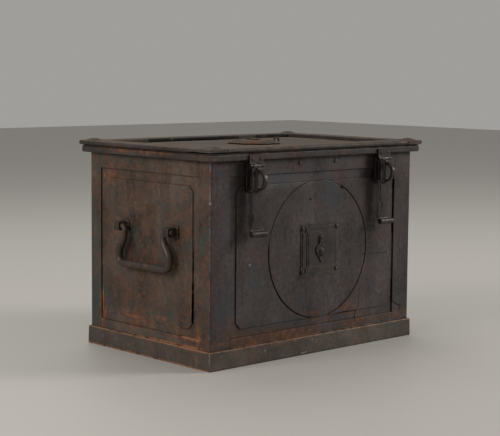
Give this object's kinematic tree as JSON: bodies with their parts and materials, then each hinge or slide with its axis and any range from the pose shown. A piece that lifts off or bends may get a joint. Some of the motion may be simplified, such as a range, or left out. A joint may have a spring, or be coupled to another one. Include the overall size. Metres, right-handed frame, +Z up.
{
  "type": "iron strongbox",
  "caption": "Riveted iron chest on a plinth with a hinged lid, hasps with padlock eyes, drop handles, keyhole covers and a bolt lock under the lid.",
  "frame": {"origin": "centre of the floor plate's underside, which the chest stands on", "axes": "+X along the width to the viewer's right when facing the front, +Y from the front to the back, +Z up"},
  "size_m": [0.6492, 0.46, 0.4513],
  "materials": {
    "front_iron": "dark blue-grey and brown wrought iron, worn, with rust in the seams",
    "side_iron": "rust-brown wrought iron with bluish bare areas and orange rust along the bottom lines",
    "plinth_iron": "brown rusted iron bar, scuffed along its lower edge",
    "lid_iron": "dark iron with a dull sheen on its edges and reddish rust on the ornament",
    "fitting_iron": "near-black worn iron, glossy where hands rub it",
    "inside_iron": "plain dark iron with even brown rust"
  },
  "bodies": {
    "chest": {"front_wall": "front_iron", "back_wall": "front_iron", "top_strip_front": "front_iron", "top_strip_back": "front_iron", "bottom_strip_front": "front_iron", "bottom_strip_back": "front_iron", "front_panel_left": "front_iron", "front_panel_right": "front_iron", "front_disc": "front_iron", "back_panel": "front_iron", "left_wall": "side_iron", "right_wall": "side_iron", "corner_angle_front_left": "side_iron", "corner_angle_front_right": "side_iron", "corner_angle_back_left": "side_iron", "corner_angle_back_right": "side_iron", "top_strip_left": "side_iron", "top_strip_right": "side_iron", "bottom_strip_left": "side_iron", "bottom_strip_right": "side_iron", "side_panel_left": "side_iron", "side_panel_right": "side_iron", "plinth_band": "plinth_iron", "front_escutcheon": "fitting_iron", "handle_staple_left_front": "fitting_iron", "handle_staple_left_back": "fitting_iron", "handle_staple_right_front": "fitting_iron", "handle_staple_right_back": "fitting_iron", "chest_hinge_left": "fitting_iron", "chest_hinge_right": "fitting_iron", "hasp_plate_left": "fitting_iron", "hasp_plate_right": "fitting_iron", "floor_plate": "inside_iron", "mouth_flange": "inside_iron"},
    "lid": {"lid_band": "lid_iron", "lid_plate": "lid_iron", "lid_rim_front": "lid_iron", "lid_rim_back": "lid_iron", "lid_rim_left": "lid_iron", "lid_rim_right": "lid_iron", "lid_panel": "lid_iron", "lid_ornament": "lid_iron", "lid_hinge_left": "fitting_iron", "lid_hinge_right": "fitting_iron", "hasp_bracket_left": "fitting_iron", "hasp_bracket_right": "fitting_iron", "lock_plate": "inside_iron"},
    "hasp_left_arm": {"hasp_left": "fitting_iron", "padlock_eye_left": "fitting_iron"},
    "hasp_right_arm": {"hasp_right": "fitting_iron", "padlock_eye_right": "fitting_iron"},
    "handle_left_bail": {"handle_left": "fitting_iron"},
    "handle_right_bail": {"handle_right": "fitting_iron"},
    "front_cover": {"front_keyhole_cover": "fitting_iron"},
    "lid_cover": {"lid_keyhole_cover": "lid_iron"},
    "cam": {"lock_cam": "inside_iron"},
    "bolt_to_left": {"bolt_left": "inside_iron"},
    "bolt_to_right": {"bolt_right": "inside_iron"},
    "bolt_to_front": {"bolt_front": "inside_iron"},
    "bolt_to_back": {"bolt_back": "inside_iron"}
  },
  "joints": [
    {"name": "lid_swing", "type": "hinge", "parent": "chest", "child": "lid", "pos_m": [0, 0.2038, 0.4133], "axis": [-1, 0, 0], "range_deg": [0, 95]},
    {"name": "hasp_left_swing", "type": "hinge", "parent": "lid", "child": "hasp_left_arm", "pos_m": [-0.192, -0.214, 0.409], "axis": [-1, 0, 0], "range_deg": [0, 95]},
    {"name": "hasp_right_swing", "type": "hinge", "parent": "lid", "child": "hasp_right_arm", "pos_m": [0.192, -0.214, 0.409], "axis": [-1, 0, 0], "range_deg": [0, 95]},
    {"name": "handle_left_swing", "type": "hinge", "parent": "chest", "child": "handle_left_bail", "pos_m": [-0.315, 0, 0.271], "axis": [0, 1, 0], "range_deg": [0, 170]},
    {"name": "handle_right_swing", "type": "hinge", "parent": "chest", "child": "handle_right_bail", "pos_m": [0.315, 0, 0.271], "axis": [0, -1, 0], "range_deg": [0, 170]},
    {"name": "front_cover_swing", "type": "hinge", "parent": "chest", "child": "front_cover", "pos_m": [0.008, -0.2036, 0.245], "axis": [0, -1, 0], "range_deg": [-95, 95]},
    {"name": "lid_cover_swing", "type": "hinge", "parent": "lid", "child": "lid_cover", "pos_m": [0, 0.015, 0.4475], "axis": [0, 0, 1], "range_deg": [0, 120]},
    {"name": "lock_turn", "type": "hinge", "parent": "lid", "child": "cam", "pos_m": [0, 0, 0.42], "axis": [0, 0, 1], "range_deg": [0, 80]},
    {"name": "bolt_left_throw", "type": "slide", "parent": "lid", "child": "bolt_to_left", "axis": [-1, 0, 0], "range_m": [0, 0.012]},
    {"name": "bolt_right_throw", "type": "slide", "parent": "lid", "child": "bolt_to_right", "axis": [1, 0, 0], "range_m": [0, 0.012]},
    {"name": "bolt_front_throw", "type": "slide", "parent": "lid", "child": "bolt_to_front", "axis": [0, -1, 0], "range_m": [0, 0.012]},
    {"name": "bolt_back_throw", "type": "slide", "parent": "lid", "child": "bolt_to_back", "axis": [0, 1, 0], "range_m": [0, 0.012]}
  ],
  "couplings": [
    {"joint": "bolt_left_throw", "follows": "lock_turn", "m_per_rad": 0.008594},
    {"joint": "bolt_right_throw", "follows": "lock_turn", "m_per_rad": 0.008594},
    {"joint": "bolt_front_throw", "follows": "lock_turn", "m_per_rad": 0.008594},
    {"joint": "bolt_back_throw", "follows": "lock_turn", "m_per_rad": 0.008594}
  ]
}
